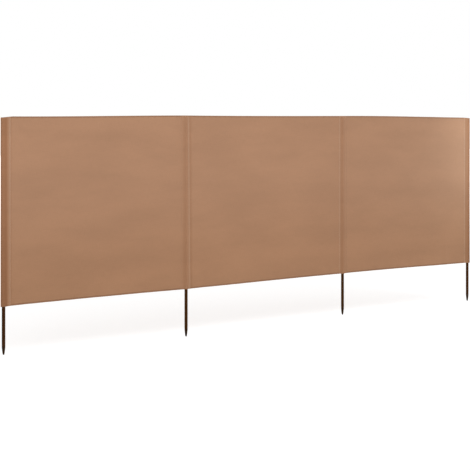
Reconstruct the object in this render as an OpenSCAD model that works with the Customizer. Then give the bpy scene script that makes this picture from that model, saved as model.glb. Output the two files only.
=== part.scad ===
// Beach windbreak: three bays of cloth held up by four poles that are pushed into sand.
// X runs along the cloth, Y away from its front, Z up.
// The origin is the flat end of the second pole's spike.

/* [Cloth] */
// Distance between the two middle poles
middle_bay = 1370; // [900:10:1600]
// Distance from a middle pole to the end pole beside it
end_bay = 1310; // [850:10:1540]
// Height of the cloth, hems included
cloth_h = 1200; // [600:10:1600]
// Thickness of one layer of cloth
cloth_t = 1.2; // [0.6:0.1:2]
// Height of the turned and stitched hem along each long edge
hem_h = 10; // [6:1:40]
// Layers of cloth in a hem
hem_layers = 3; // [2:1:4]

/* [Sleeves] */
// Width of a middle pole's sleeve, from seam to seam
sleeve_w = 74; // [50:1:120]
// Distance from an end pole's axis to the seam of its sleeve
end_seam_reach = 40; // [28:1:80]
// Distance from an end pole's axis to the folded edge of its sleeve
end_fold_reach = 19; // [18:0.5:40]
// Radial room between a pole and its sleeve
sleeve_room = 0.3; // [0.2:0.1:3]
// Room between a pole's top and the hem that closes its sleeve
sleeve_top_room = 0.8; // [0.5:0.1:20]
// Gap between a middle sleeve and the cloth of the end bay that folds round it
fold_gap = 0.4; // [0.3:0.1:3]

/* [Poles] */
// Outer diameter of a pole's tube
pole_d = 22; // [16:0.5:32]
// Wall of a pole's tube
pole_wall = 1; // [0.8:0.1:2.5]
// Mean length of pole and spike below the cloth
pole_out = 316; // [200:1:500]
// How much further than the mean each pole has slid down its sleeve, from left to right
pole_slips = [-16, 12, -4, 8]; // [-40:1:40]

/* [Spikes] */
// Length of a spike's point, from the end of the tube to the tip
point_l = 54; // [30:1:120]
// Height of the straight rim between the taper and the tube
rim_h = 4; // [2:0.5:10]
// Diameter of the flat end of a spike
tip_d = 7; // [4:0.5:10]
// Radius of the rounding between the flat end and the taper
tip_round = 2; // [1:0.5:3]
// Length of the spigot that holds a spike in its tube
spigot_l = 45; // [20:1:100]
// Radial room between the spigot and the tube's wall
spigot_room = 0.1; // [0.05:0.05:0.4]

/* [Hidden] */
$fn = 96;
eps = 0.01;
cloth_colour = [0.67, 0.51, 0.40];
seam_colour = [0.62, 0.45, 0.32];
hem_colour = [0.58, 0.43, 0.33];
pole_colour = [0.18, 0.11, 0.05];
spike_colour = [0.09, 0.06, 0.04];

pole_r = pole_d / 2;
bore_r = pole_r - pole_wall;
sleeve_bore_r = pole_r + sleeve_room;
sleeve_r = sleeve_bore_r + cloth_t;
seam_reach = sleeve_w / 2;
seam_layers = 2;
seam_t = seam_layers * cloth_t;
// Share of a sleeve's radius at which the flat sides of an end sleeve leave its tube.
side_start = 0.8;
hem_t = hem_layers * cloth_t;

// Pole places along X, with the second pole at the origin.
pole_x = [-end_bay, 0, middle_bay, middle_bay + end_bay];

// Heights: the second pole's tip is at zero.
cloth_z = pole_out + pole_slips[1];
cloth_top = cloth_z + cloth_h;
function tip_z(i) = cloth_z - pole_out - pole_slips[i];
function tube_z(i) = tip_z(i) + point_l;
sleeve_bore_top = cloth_top - hem_h;
pole_top = sleeve_bore_top - sleeve_top_room;

// Where the cloth of each bay starts and ends, between seams or beside a sleeve.
fold_reach = sleeve_r + fold_gap;
panel_x = [
    [pole_x[0] + end_seam_reach, pole_x[1] - fold_reach],
    [pole_x[1] + seam_reach, pole_x[2] - seam_reach],
    [pole_x[2] + fold_reach, pole_x[3] - end_seam_reach]
];

// A strip of cloth that stands on edge in the plane of the wall.
module strip(x, z, height, thickness) {
    translate([x[0], -thickness / 2, z])
        cube([x[1] - x[0], thickness, height]);
}

// One bay's cloth between its hems.
module panel(i) {
    color(cloth_colour)
        strip(panel_x[i - 1], cloth_z + hem_h, cloth_h - 2 * hem_h, cloth_t);
}

// The cloth's top edge, turned over and stitched.
module top_hem(i) {
    color(hem_colour)
        strip(panel_x[i - 1], cloth_top - hem_h, hem_h, hem_t);
}

// The cloth's bottom edge, turned over and stitched.
module bottom_hem(i) {
    color(hem_colour)
        strip(panel_x[i - 1], cloth_z, hem_h, hem_t);
}

// A tube of cloth with whatever stands out beside it, open below for the pole and closed by the top hem.
module sleeve(i) {
    translate([pole_x[i - 1], 0, cloth_z])
        difference() {
            union() {
                cylinder(r = sleeve_r, h = cloth_h);
                children();
            }
            translate([0, 0, -eps])
                cylinder(r = sleeve_bore_r, h = sleeve_bore_top - cloth_z + eps);
        }
}

// Two layers of cloth that leave the sides of a sleeve's tube at x = 0 and meet at x = reach.
module sleeve_sides(reach) {
    linear_extrude(cloth_h)
        polygon([
            [0, side_start * sleeve_r],
            [0, -side_start * sleeve_r],
            [reach, -seam_t / 2],
            [reach, seam_t / 2]
        ]);
}

// The flat sleeve at an end of the cloth: a folded edge outside the pole, a seam inside it.
module end_sleeve(i) {
    inwards = i == 1 ? 1 : -1;
    color(seam_colour)
        sleeve(i) {
            sleeve_sides(inwards * end_seam_reach);
            sleeve_sides(-inwards * end_fold_reach);
        }
}

// The sleeve that a bay folds round: a plain tube of cloth with a flange on the middle bay's side.
module middle_sleeve(i) {
    flange_x = i == 2 ? 0 : -seam_reach;
    color(seam_colour)
        sleeve(i)
            translate([flange_x, -seam_t / 2, 0])
                cube([seam_reach, seam_t, cloth_h]);
}

// A thin steel tube, from its spike's shoulder to just under the sleeve's closed top.
module pole(i) {
    length = pole_top - tube_z(i - 1);
    color(pole_colour)
        translate([pole_x[i - 1], 0, tube_z(i - 1)])
            difference() {
                cylinder(r = pole_r, h = length);
                translate([0, 0, -eps])
                    cylinder(r = bore_r, h = length + 2 * eps);
            }
}

// A pointed end: a small flat tip with a rounded edge, a taper, a straight rim and a spigot up the tube.
module spike(i) {
    spigot_r = bore_r - spigot_room;
    rounded_edge = [
        for (a = [0 : 15 : 75])
            [tip_d / 2 + tip_round * sin(a), tip_round * (1 - cos(a))]
    ];
    rim_and_spigot = [
        [pole_r, point_l - rim_h],
        [pole_r, point_l],
        [spigot_r, point_l],
        [spigot_r, point_l + spigot_l],
        [0, point_l + spigot_l]
    ];
    color(spike_colour)
        translate([pole_x[i - 1], 0, tip_z(i - 1)])
            rotate_extrude()
                polygon(concat([[0, 0]], rounded_edge, rim_and_spigot));
}

for (i = [1 : 3]) panel(i);
for (i = [1 : 3]) top_hem(i);
for (i = [1 : 3]) bottom_hem(i);
for (i = [1, 4]) end_sleeve(i);
for (i = [2, 3]) middle_sleeve(i);
for (i = [1 : 4]) pole(i);
for (i = [1 : 4]) spike(i);
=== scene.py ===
"""A beach windbreak: three bays of cloth on four pointed poles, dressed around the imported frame.

The cloth is one field of offsets that every panel, hem, sleeve and stitch reads, so the pieces meet.
"""

import logging
import math
from dataclasses import dataclass, field
from enum import Enum
from typing import Callable, Optional

import bpy
import numpy as np
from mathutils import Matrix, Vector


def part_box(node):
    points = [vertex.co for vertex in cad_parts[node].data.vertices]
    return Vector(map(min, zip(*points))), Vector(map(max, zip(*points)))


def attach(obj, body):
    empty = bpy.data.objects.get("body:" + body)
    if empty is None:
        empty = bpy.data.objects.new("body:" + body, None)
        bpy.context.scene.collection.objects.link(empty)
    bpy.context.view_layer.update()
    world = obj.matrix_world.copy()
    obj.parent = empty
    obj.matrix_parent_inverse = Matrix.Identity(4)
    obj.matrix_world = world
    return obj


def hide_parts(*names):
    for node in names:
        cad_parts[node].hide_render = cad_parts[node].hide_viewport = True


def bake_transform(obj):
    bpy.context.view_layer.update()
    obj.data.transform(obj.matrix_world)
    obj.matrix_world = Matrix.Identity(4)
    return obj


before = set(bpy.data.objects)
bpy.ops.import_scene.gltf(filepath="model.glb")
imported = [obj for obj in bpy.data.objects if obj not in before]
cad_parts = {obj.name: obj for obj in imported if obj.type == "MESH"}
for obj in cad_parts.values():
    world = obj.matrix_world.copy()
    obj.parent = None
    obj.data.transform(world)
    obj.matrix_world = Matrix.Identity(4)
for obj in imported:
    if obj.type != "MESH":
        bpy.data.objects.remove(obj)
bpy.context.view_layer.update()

Array = np.ndarray
Pair = tuple[float, float]
Triple = tuple[float, float, float]
Floats = tuple[float, ...]
Object, Material = bpy.types.Object, bpy.types.Material
Tree, Node, Socket = bpy.types.NodeTree, bpy.types.Node, bpy.types.NodeSocket
LOG = logging.getLogger("windbreak")
MM = 0.001
TAU = 2 * math.pi
UV_NAME = "cloth_metres"
# Point attribute of painted shade: where cloth lies double, over a pole and beside felled seams.
SHADE_MARKS_NAME = "cloth_painted_shade"
# Point attribute of a painted highlight along the front of seam ridges.
HIGHLIGHT_MARKS_NAME = "cloth_painted_highlight"


# ---------------------------------------------------------------- sizes read from the frame


class Face(Enum):
    """The side of the wall that a surface or a row of stitches is on."""

    FRONT = -1
    BACK = 1


@dataclass(frozen=True)
class WallFrame:
    """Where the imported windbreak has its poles, seams and edges, in metres.

    Attributes:
        pole_x: The poles' axes along X, from left to right.
        pole_r: A pole's outer radius.
        tube_bottom: The lower end of each pole's tube.
        tube_top: The upper end of the tubes.
        tip: The lowest point of each spike.
        bottom: The cloth's lower edge.
        top: The cloth's upper edge.
        hem_h: The height of a hem.
        seam_reach: From a middle pole's axis to the seams of its sleeve.
        end_reach: From an end pole's axis to the seam of its sleeve.
        fold_reach: From an end pole's axis to the folded edge of its sleeve.
    """

    pole_x: Floats
    pole_r: float
    tube_bottom: Floats
    tube_top: float
    tip: Floats
    bottom: float
    top: float
    hem_h: float
    seam_reach: float
    end_reach: float
    fold_reach: float

    @classmethod
    def measured(cls) -> "WallFrame":
        """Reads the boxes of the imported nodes.

        Returns:
            The wall's sizes, as the frame has them.
        """
        poles = [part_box(f"pole_{i}") for i in range(1, 5)]
        spikes = [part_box(f"spike_{i}") for i in range(1, 5)]
        pole_x = tuple((low.x + high.x) / 2 for low, high in poles)
        end_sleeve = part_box("sleeve_1")
        low_hem, high_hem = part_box("bottom_hem_2"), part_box("top_hem_2")
        return cls(
            pole_x=pole_x,
            pole_r=(poles[0][1].x - poles[0][0].x) / 2,
            tube_bottom=tuple(low.z for low, _ in poles),
            tube_top=poles[0][1].z,
            tip=tuple(low.z for low, _ in spikes),
            bottom=low_hem[0].z,
            top=high_hem[1].z,
            hem_h=low_hem[1].z - low_hem[0].z,
            seam_reach=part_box("sleeve_2")[1].x - pole_x[1],
            end_reach=end_sleeve[1].x - pole_x[0],
            fold_reach=pole_x[0] - end_sleeve[0].x,
        )

    @property
    def bays(self) -> list[Pair]:
        """The left and right seam of each bay's panel."""
        x = self.pole_x
        return [
            (x[0] + self.end_reach, x[1] - self.seam_reach),
            (x[1] + self.seam_reach, x[2] - self.seam_reach),
            (x[2] + self.seam_reach, x[3] - self.end_reach),
        ]

    @property
    def height(self) -> float:
        """The cloth's height, hems included."""
        return self.top - self.bottom


# ---------------------------------------------------------------- smooth steps and spacings


def ramp(value: Array, low: float, high: float) -> Array:
    """A smooth step: 0 below low, 1 above high, and 3t squared less 2t cubed between them.

    Args:
        value: The numbers to judge.
        low: Where the step starts.
        high: Where it ends. It may be less than low, and the step then falls.

    Returns:
        Numbers from 0 to 1.
    """
    t = np.clip((np.asarray(value, float) - low) / (high - low), 0, 1)
    return t * t * (3 - 2 * t)


def graded(start: float, end: float, fine: float, coarse: float, border: float) -> Array:
    """Places along a line that lie close together near both of its ends.

    The step grows smoothly from fine at each end to coarse beyond border, and the places are the
    sum of the steps, scaled to end exactly at end.

    Args:
        start: The first place.
        end: The last place.
        fine: The step at both ends.
        coarse: The step in the middle.
        border: How far from an end the step takes to grow.

    Returns:
        The places, in order.
    """
    length = end - start
    dense = np.linspace(0, length, 2000)
    edge = np.minimum(dense, length - dense)
    step = fine + (coarse - fine) * ramp(edge, 0, border)
    passed = np.concatenate([[0], np.cumsum(np.diff(dense) / ((step[1:] + step[:-1]) / 2))])
    count = int(round(passed[-1]))
    return start + np.interp(np.linspace(0, passed[-1], count + 1), passed, dense)


# ---------------------------------------------------------------- how the cloth hangs


@dataclass(frozen=True)
class SoftFold:
    """A soft crease across a bay: a rounded ridge along a straight line that fades at both ends.

    Attributes:
        start: Where it starts, as shares of the bay's width and height.
        end: Where it ends, in the same shares.
        width: Its half width, in metres.
        height: How far it stands out, in metres, positive towards the back.
    """

    start: Pair
    end: Pair
    width: float
    height: float

    def offset(self, across: Array, up: Array, width: float, height: float) -> Array:
        """The ridge's share of the cloth's offset.

        A Gaussian of the distance to the line, times a smooth step in from each end of it.

        Args:
            across: Each point's share of the bay's width.
            up: Its share of the bay's height.
            width: The bay's width, in metres.
            height: The bay's height, in metres.

        Returns:
            The offset along Y, in metres.
        """
        ax, az = self.start[0] * width, self.start[1] * height
        bx, bz = self.end[0] * width, self.end[1] * height
        length = math.hypot(bx - ax, bz - az)
        dx, dz = (bx - ax) / length, (bz - az) / length
        px, pz = across * width - ax, up * height - az
        along = (px * dx + pz * dz) / length
        beside = (px * dz - pz * dx) / self.width
        fade = ramp(along, -0.1, 0.3) * ramp(along, 1.1, 0.7)
        return self.height * np.exp(-beside * beside) * fade


@dataclass(frozen=True)
class Bay:
    """How one bay's cloth hangs between its two seams.

    Attributes:
        left: The left seam.
        right: The right seam.
        billow: How far the middle of the bay bows, positive towards the back.
        folds: The soft folds across it.
    """

    left: float
    right: float
    billow: float
    folds: tuple[SoftFold, ...]


@dataclass(frozen=True)
class FelledSeam:
    """The felled seam that closes a sleeve on its bay's side: a ridge of turned cloth.

    Attributes:
        side: 1 to the right of the pole, -1 to its left.
        start: From the pole's axis to the ridge.
        groove: How deep the cloth is drawn in beyond the ridge.
        groove_w: The groove's half width.
        lean: How much further out the seam is at the bottom than at half height.
        seam_shade_width: The width of the strip beyond the ridge that takes painted shade.
        ridge: The ridge's width.
    """

    side: int
    start: float
    groove: float
    groove_w: float
    lean: float = 0.0
    seam_shade_width: float = 0.0
    ridge: float = 8 * MM

    @property
    def end(self) -> float:
        """From the pole's axis to the far side of the ridge."""
        return self.start + self.ridge


@dataclass
class Drape:
    """The offsets of the whole cloth from a flat wall, as one field that all its pieces read.

    Attributes:
        wall: The frame's sizes.
        bays: The three bays, from left to right.
        seams: The felled seam beside each pole.
        seed: The seed of the slow waves.
        wave_count: How many slow waves cross the cloth.
        wave_size: The height of the largest.
        held_in: How far from a seam the soft shapes take to swell.
        bow_power: How full the bays' bow is, where 1 is a parabola and less is fuller.
        bow_top: How much of the bow is missing at the top edge.
        top_at_poles: The top edge's rise at each pole.
        top_arch: What each bay adds to it in its middle.
        bottom_at_poles: The lower edge's rise at each pole.
        bottom_arch: What each bay adds to it in its middle.
        corner_droop: How far the first and the last top corner hang.
        droop_span: From the pole beside each, where that starts and where it is full.
        corner_size: The height of the folds at a bay's top corners and at its lower ones.
        corner_fade: Between which distances from a corner those folds fade in.
        corner_reach: How far they run.
        corner_turns: How close together they fan out.
        ripple_size: The height of the ripples along the top edge and along the lower one.
        ripple_reach: How far those ripples run into the cloth.
        ripple_pitch: From one ripple to the next.
        ripple_drift: The lengths of the two slow sines that they drift by.
        pucker: The height of the puckers beside the stitches.
        pucker_pitch: From one pucker to the next, along a hem and along a seam.
        pucker_drift: The lengths of the slow sines that they drift by there.
        pucker_reach: How far they run from a hem and from a seam.
        lean_room: From a pole's side to where the cloth starts to lean with its seam.
        lean_fade: How far beyond a ridge the lean fades out.
        seam_shade_share: How much of the double-cloth colour is painted as shade beside each felled seam.
        waves: The slow waves, a column each.
    """

    wall: WallFrame
    bays: list[Bay]
    seams: list[FelledSeam]
    seed: int = 7
    wave_count: int = 9
    wave_size: float = 0.9 * MM
    held_in: float = 45 * MM
    bow_power: float = 0.8
    bow_top: float = 0.35
    top_at_poles: Floats = (-5 * MM, 6 * MM, 8 * MM, -1 * MM)
    top_arch: Floats = (-1 * MM, -2 * MM, 3 * MM)
    bottom_at_poles: Floats = (2 * MM, 0.0, 3 * MM, -8 * MM)
    bottom_arch: Floats = (1 * MM, 0.0, 1 * MM)
    corner_droop: Floats = (-7 * MM, -3 * MM)
    droop_span: tuple[Pair, Pair] = ((0.07, -0.02), (-0.05, 0.02))
    corner_size: Pair = (1.5 * MM, 0.9 * MM)
    corner_fade: Pair = (0.01, 0.12)
    corner_reach: Pair = (0.32, 0.2)
    corner_turns: float = 9.0
    ripple_size: Pair = (0.7 * MM, 1.1 * MM)
    ripple_reach: Pair = (0.06, 0.10)
    ripple_pitch: Pair = (0.093, 0.118)
    ripple_drift: Pair = (0.41, 0.173)
    pucker: float = 0.4 * MM
    pucker_pitch: Pair = (55 * MM, 36 * MM)
    pucker_drift: Pair = (0.17, 0.13)
    pucker_reach: Pair = (10 * MM, 11 * MM)
    lean_room: float = 2 * MM
    lean_fade: float = 80 * MM
    seam_shade_share: float = 0.26
    waves: Array = field(init=False)

    def __post_init__(self) -> None:
        """Draws the slow waves: for each, its turns a metre along X and Z, its phase and its size."""
        rng = np.random.default_rng(self.seed)
        turns = rng.uniform(0.8, 3.2, self.wave_count)
        lean = rng.uniform(-0.5, 0.5, self.wave_count) * math.pi
        size = self.wave_size * rng.uniform(0.4, 1.0, self.wave_count)
        phase = rng.uniform(0, TAU, self.wave_count)
        self.waves = np.stack([turns * np.cos(lean), turns * np.sin(lean), phase, size])

    def cloth_span(self, number: int, tuck: float) -> Pair:
        """Where a bay's own cloth starts and ends: under a felled ridge, or past a plain seam.

        Args:
            number: The bay, from 1 at the left.
            tuck: How far it runs on under the ridge or past the seam.

        Returns:
            Its left and right ends along X.
        """
        left, right = self.wall.bays[number - 1]
        near, far = self.seams[number - 1], self.seams[number]
        if near.side > 0:
            left = self.wall.pole_x[number - 1] + near.end
        if far.side < 0:
            right = self.wall.pole_x[number] - far.end
        return left - tuck, right + tuck

    def slow_waves(self, x: Array, z: Array) -> Array:
        """A sum of sines in all directions, each with its own length, phase and size.

        Args:
            x: Places along the wall.
            z: Heights, of the same shape.

        Returns:
            Offsets along Y, in metres.
        """
        kx, kz, phase, size = (row[:, None] for row in self.waves)
        flat_x, flat_z = np.ravel(x)[None], np.ravel(z)[None]
        total = (size * np.sin(TAU * (kx * flat_x + kz * flat_z) + phase)).sum(0)
        return total.reshape(np.shape(x))

    def corner_pull(self, x: Array, z: Array, bay: Bay) -> Array:
        """Folds that fan out from a bay's four corners, where the sleeves hold it.

        Round each corner it is a sine of the direction, which fades in from the corner and out
        again with the distance.

        Args:
            x: Places along the wall.
            z: Heights, of the same shape.
            bay: The bay.

        Returns:
            Offsets along Y, in metres.
        """
        total = np.zeros(np.shape(x))
        levels = zip((self.wall.top, self.wall.bottom), self.corner_size, self.corner_reach)
        corners = [(side, *level) for level in levels for side in (bay.left, bay.right)]
        for number, (corner_x, corner_z, size, reach) in enumerate(corners):
            beside, above = np.abs(x - corner_x), np.abs(z - corner_z)
            away = np.hypot(beside, above)
            turn = np.arctan2(above, beside + 1e-9)
            fade = ramp(away, *self.corner_fade) * np.exp(-away / reach)
            fan = np.sin(self.corner_turns * turn + 1.3 * number)
            total += size * fade * fan * np.sin(turn) ** 0.5
        return total

    def edge_ripples(self, x: Array, z: Array) -> Array:
        """Upright ripples that the hems' stitching draws in: sines along X that fade with the inset.

        Args:
            x: Places along the wall.
            z: Heights, of the same shape.

        Returns:
            Offsets along Y, in metres.
        """
        first, second = self.ripple_drift
        slow = 0.7 * np.sin(TAU * x / first + 0.4) + 0.5 * np.sin(TAU * x / second)
        insets = (self.wall.top - z, z - self.wall.bottom)
        total = 0.0
        for inset, size, reach, pitch, way in zip(
            insets, self.ripple_size, self.ripple_reach, self.ripple_pitch, (-1, 1)
        ):
            total = total + size * np.exp(-inset / reach) * np.sin(TAU * x / pitch + way * slow)
        return total

    def puckers(self, x: Array, z: Array, bay: Bay) -> Array:
        """Short puckers along the stitched seams and hems: a sine along the seam that fades beside it.

        Args:
            x: Places along the wall.
            z: Heights, of the same shape.
            bay: The bay.

        Returns:
            Offsets along Y, in metres.
        """
        wall = self.wall
        reach_z, reach_x = self.pucker_reach
        along_hem, along_seam = (
            np.sin(TAU * way / pitch + 0.7 * np.sin(TAU * way / drift))
            for way, pitch, drift in zip((x, z), self.pucker_pitch, self.pucker_drift)
        )
        to_seam = np.minimum(np.abs(x - bay.left), np.abs(x - bay.right))
        to_hem = np.minimum(
            np.abs(z - wall.bottom - wall.hem_h), np.abs(wall.top - wall.hem_h - z)
        )
        beside_seam, beside_hem = np.exp(-to_seam / reach_x), np.exp(-to_hem / reach_z)
        return self.pucker * (beside_seam * along_seam + beside_hem * along_hem)

    def shade_beside_seams(self, x: Array) -> Array:
        """How much painted shade, in the double-cloth colour, lies beside the felled seams.

        It is a bell curve of painted shade over the strip beyond each ridge.

        Args:
            x: Places along the wall.

        Returns:
            Shares from 0 to 1.
        """
        total = np.zeros(np.shape(x))
        for axis, seam in zip(self.wall.pole_x, self.seams):
            if seam.seam_shade_width:
                away = (x - axis) * seam.side - seam.end - 0.6 * seam.seam_shade_width
                total += self.seam_shade_share * np.exp(-((away / (0.6 * seam.seam_shade_width)) ** 2))
        return total

    def offset(self, x: Array, z: Array) -> Array:
        """How far the cloth's middle surface lies behind the plane of the poles.

        Each bay bows by a power of a parabola across it, less at its top edge, and adds its soft
        folds, corner pulls, ripples and slow waves. All but the puckers fade out at the seams.

        Args:
            x: Places along the wall.
            z: Heights, of the same shape.

        Returns:
            Offsets along Y, in metres.
        """
        x, z = np.broadcast_arrays(np.asarray(x, float), np.asarray(z, float))
        total = np.zeros(x.shape)
        up = (z - self.wall.bottom) / self.wall.height
        for bay in self.bays:
            width = bay.right - bay.left
            across = np.clip((x - bay.left) / width, 0, 1)
            inside = np.minimum(x - bay.left, bay.right - x)
            held = 1 - np.exp(-np.clip(inside, 0, None) / self.held_in)
            bow = bay.billow * (4 * across * (1 - across)) ** self.bow_power
            bow = bow * (1 - self.bow_top * ramp(up, 0.6, 1.0))
            soft = self.slow_waves(x, z) + self.corner_pull(x, z, bay) + self.edge_ripples(x, z)
            for fold in bay.folds:
                soft = soft + fold.offset(across, up, width, self.wall.height)
            near = np.where(inside > -0.06, self.puckers(x, z, bay), 0)
            total += np.where(inside > 0, bow + held * soft, 0) + near
        for pole, seam in zip(self.wall.pole_x, self.seams):
            beyond = seam.side * (x - pole) - seam.end - 0.9 * seam.groove_w
            total += seam.groove * np.exp(-((beyond / seam.groove_w) ** 2))
        return total

    def sway(self, x: Array, z: Array) -> Array:
        """How far each point lies sideways, because a seam leans a little from its pole.

        The lean goes from one way at the bottom to the other at the top. It fades in from the
        pole's side to the ridge, and out again over the cloth beyond.

        Args:
            x: Places along the wall.
            z: Heights on the flat cloth, of the same shape.

        Returns:
            Offsets along X, in metres.
        """
        down = 1 - 2 * (z - self.wall.bottom) / self.wall.height
        total = np.zeros(np.shape(x))
        for pole, seam in zip(self.wall.pole_x, self.seams):
            away = seam.side * (x - pole)
            share = ramp(away, self.wall.pole_r + self.lean_room, seam.start)
            share = share * ramp(away, seam.end + self.lean_fade, seam.end)
            total = total + seam.side * seam.lean * down * share
        return total

    def edge_line(self, x: Array, at_poles: Floats, arches: Floats) -> Array:
        """One edge's rise over a level line.

        It eases from pole to pole with a smooth step, and each bay adds a parabola of its own.

        Args:
            x: Places along the wall.
            at_poles: The edge's rise at each pole.
            arches: What each bay adds in its middle.

        Returns:
            Offsets along Z, in metres.
        """
        poles = self.wall.pole_x
        rise = np.full(np.shape(x), at_poles[0])
        for bay, arch in enumerate(arches):
            share = np.clip((x - poles[bay]) / (poles[bay + 1] - poles[bay]), 0, 1)
            rise = rise + (at_poles[bay + 1] - at_poles[bay]) * ramp(share, 0, 1)
            rise = rise + arch * 4 * share * (1 - share)
        return rise

    def lift(self, x: Array, z: Array) -> Array:
        """How far the cloth is raised: both edges' lines, mixed by height, and drooping top corners.

        Args:
            x: Places along the wall.
            z: Heights, of the same shape.

        Returns:
            Offsets along Z, in metres.
        """
        x, z = np.broadcast_arrays(np.asarray(x, float), np.asarray(z, float))
        up = np.clip((z - self.wall.bottom) / self.wall.height, 0, 1)
        top = self.edge_line(x, self.top_at_poles, self.top_arch)
        low = self.edge_line(x, self.bottom_at_poles, self.bottom_arch)
        ends = zip((self.wall.pole_x[0], self.wall.pole_x[-1]), self.corner_droop, self.droop_span)
        droop = sum(size * ramp(x, pole + start, pole + full) for pole, size, (start, full) in ends)
        return up * top + (1 - up) * low + up**6 * droop


# ---------------------------------------------------------------- meshes from grids of points


@dataclass
class Shell:
    """Collects grids of points, and strips and caps between them, into one closed mesh.

    Each face keeps its own corners' places on the cloth, so a pattern runs on across a joint.

    Attributes:
        points: Blocks of points.
        quads: Blocks of four-sided faces, as numbers of points.
        quad_uvs: Their corners' places on the cloth.
        caps: Blocks of faces with any number of corners.
        shade_marks: How much painted shade each point takes, where cloth lies double, over a pole or beside
            a seam, in blocks like the points.
        highlight_marks: How much painted highlight each point takes.
        count: How many points there are.
    """

    points: list[Array] = field(default_factory=list)
    quads: list[Array] = field(default_factory=list)
    quad_uvs: list[Array] = field(default_factory=list)
    caps: list[Array] = field(default_factory=list)
    shade_marks: list[Array] = field(default_factory=list)
    highlight_marks: list[Array] = field(default_factory=list)
    count: int = 0

    def add_points(self, points: Array, shade_marks: Optional[Array] = None,
                   highlight_marks: Optional[Array] = None) -> Array:
        """Adds points.

        Args:
            points: An array whose last axis is X, Y and Z.
            shade_marks: How much painted shade each point takes, from 0 to 1, or None for nowhere.
            highlight_marks: How much painted highlight it takes, in the same way.

        Returns:
            The points' numbers, in the shape of the array.
        """
        shape = points.shape[:-1]
        total = int(np.prod(shape))
        self.points.append(points.reshape(-1, 3))
        self.shade_marks.append(np.zeros(total) if shade_marks is None else np.ravel(shade_marks))
        self.highlight_marks.append(np.zeros(total) if highlight_marks is None else np.ravel(highlight_marks))
        self.count += total
        return np.arange(self.count - total, self.count).reshape(shape)

    def add_quads(self, corners: Array, uvs: Array, flip: bool = False) -> None:
        """Adds four-sided faces.

        Args:
            corners: Their corners' numbers, with four on the last axis.
            uvs: The corners' places on the cloth, with two more on the last axis.
            flip: Whether to turn the faces over.
        """
        corners, uvs = corners.reshape(-1, 4), uvs.reshape(-1, 4, 2)
        self.quads.append(corners[:, ::-1] if flip else corners)
        self.quad_uvs.append(uvs[:, ::-1] if flip else uvs)

    def grid(self, points: Array, uvs: Array, wrap: bool = False, flip: bool = False,
             shade_marks: Optional[Array] = None, highlight_marks: Optional[Array] = None) -> Array:
        """Adds a grid of points and the faces between neighbours.

        Args:
            points: Rows and columns of points.
            uvs: Their places on the cloth, with one more column where the grid wraps.
            wrap: Whether the last column joins the first.
            flip: Whether to turn the faces over.
            shade_marks: How much painted shade each point takes.
            highlight_marks: How much painted highlight it takes.

        Returns:
            The points' numbers, in rows and columns.
        """
        numbers = self.add_points(points, shade_marks, highlight_marks)
        wide = np.concatenate([numbers, numbers[:, :1]], 1) if wrap else numbers
        corners = np.stack([wide[:-1, :-1], wide[:-1, 1:], wide[1:, 1:], wide[1:, :-1]], -1)
        places = np.stack([uvs[:-1, :-1], uvs[:-1, 1:], uvs[1:, 1:], uvs[1:, :-1]], -2)
        self.add_quads(corners, places, flip)
        return numbers

    def strip(self, first: Array, second: Array, uvs: Array, wrap: bool = False, flip: bool = False,
              depth: float = MM) -> None:
        """Joins two rows of points by a row of faces.

        Args:
            first: The numbers of one row.
            second: The numbers of the other row, of the same length.
            uvs: The first row's places on the cloth, with one more where the rows wrap.
            wrap: Whether the rows close on themselves.
            flip: Whether to turn the faces over.
            depth: How far the second row lies from the first on the cloth.
        """
        if wrap:
            first, second = np.append(first, first[0]), np.append(second, second[0])
        corners = np.stack([first[:-1], first[1:], second[1:], second[:-1]], -1)
        beyond = uvs + np.array([0, depth])
        places = np.stack([uvs[:-1], uvs[1:], beyond[1:], beyond[:-1]], -2)
        self.add_quads(corners, places, flip)

    def add_caps(self, rings: Array, flip: bool = False) -> None:
        """Closes small rings of points, one to a row, with one flat face each."""
        self.caps.append(rings[:, ::-1] if flip else rings)

    def fan(self, ring: Array, centre: Array, flip: bool = False) -> None:
        """Closes a ring of points with triangles to a point in its middle.

        Args:
            ring: The ring's numbers.
            centre: The middle point.
            flip: Whether to turn the faces over.
        """
        hub = np.full(len(ring), self.add_points(centre[None])[0])
        self.add_caps(np.stack([ring, np.roll(ring, -1), hub], -1), flip)

    def lid(self, ring: Array, uvs: Array, flip: bool = False) -> None:
        """Closes a flat ring by joining its front points to the back points behind them.

        Args:
            ring: The ring's numbers: the front from left to right, then the back from right to left.
            uvs: Their places on the cloth.
            flip: Whether to turn the faces over.
        """
        half = len(ring) // 2 + 1
        front, back = ring[:half], np.append(ring[0], ring[half - 1:][::-1])
        self.strip(front[1:-1], back[1:-1], uvs[1:half - 1], flip=flip, depth=2 * MM)
        self.add_caps(np.array([[*front[:2], back[1]], [*front[-2:], back[-2]]]), flip)

    def build(self, name: str, material: Material) -> Object:
        """Makes the mesh and its object.

        Args:
            name: The piece's name.
            material: Its finish.

        Returns:
            The new object, smooth shaded, with its places on the cloth as a UV map in metres.
        """
        faces = [face for block in self.quads + self.caps for face in block.tolist()]
        mesh = bpy.data.meshes.new(name)
        mesh.from_pydata(np.concatenate(self.points).tolist(), [], faces)
        places = [block.reshape(-1, 2) for block in self.quad_uvs]
        uvs = np.concatenate(places + [np.zeros((block.size, 2)) for block in self.caps])
        mesh.uv_layers.new(name=UV_NAME).data.foreach_set("uv", uvs.astype(np.float32).ravel())
        # Painted shade and painted highlight go on as point attributes.
        for label, values in ((SHADE_MARKS_NAME, self.shade_marks), (HIGHLIGHT_MARKS_NAME, self.highlight_marks)):
            mark = mesh.attributes.new(label, "FLOAT", "POINT")
            mark.data.foreach_set("value", np.concatenate(values).astype(np.float32))
        mesh.materials.append(material)
        mesh.shade_smooth()
        mesh.update()
        return added(name, mesh)


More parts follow.
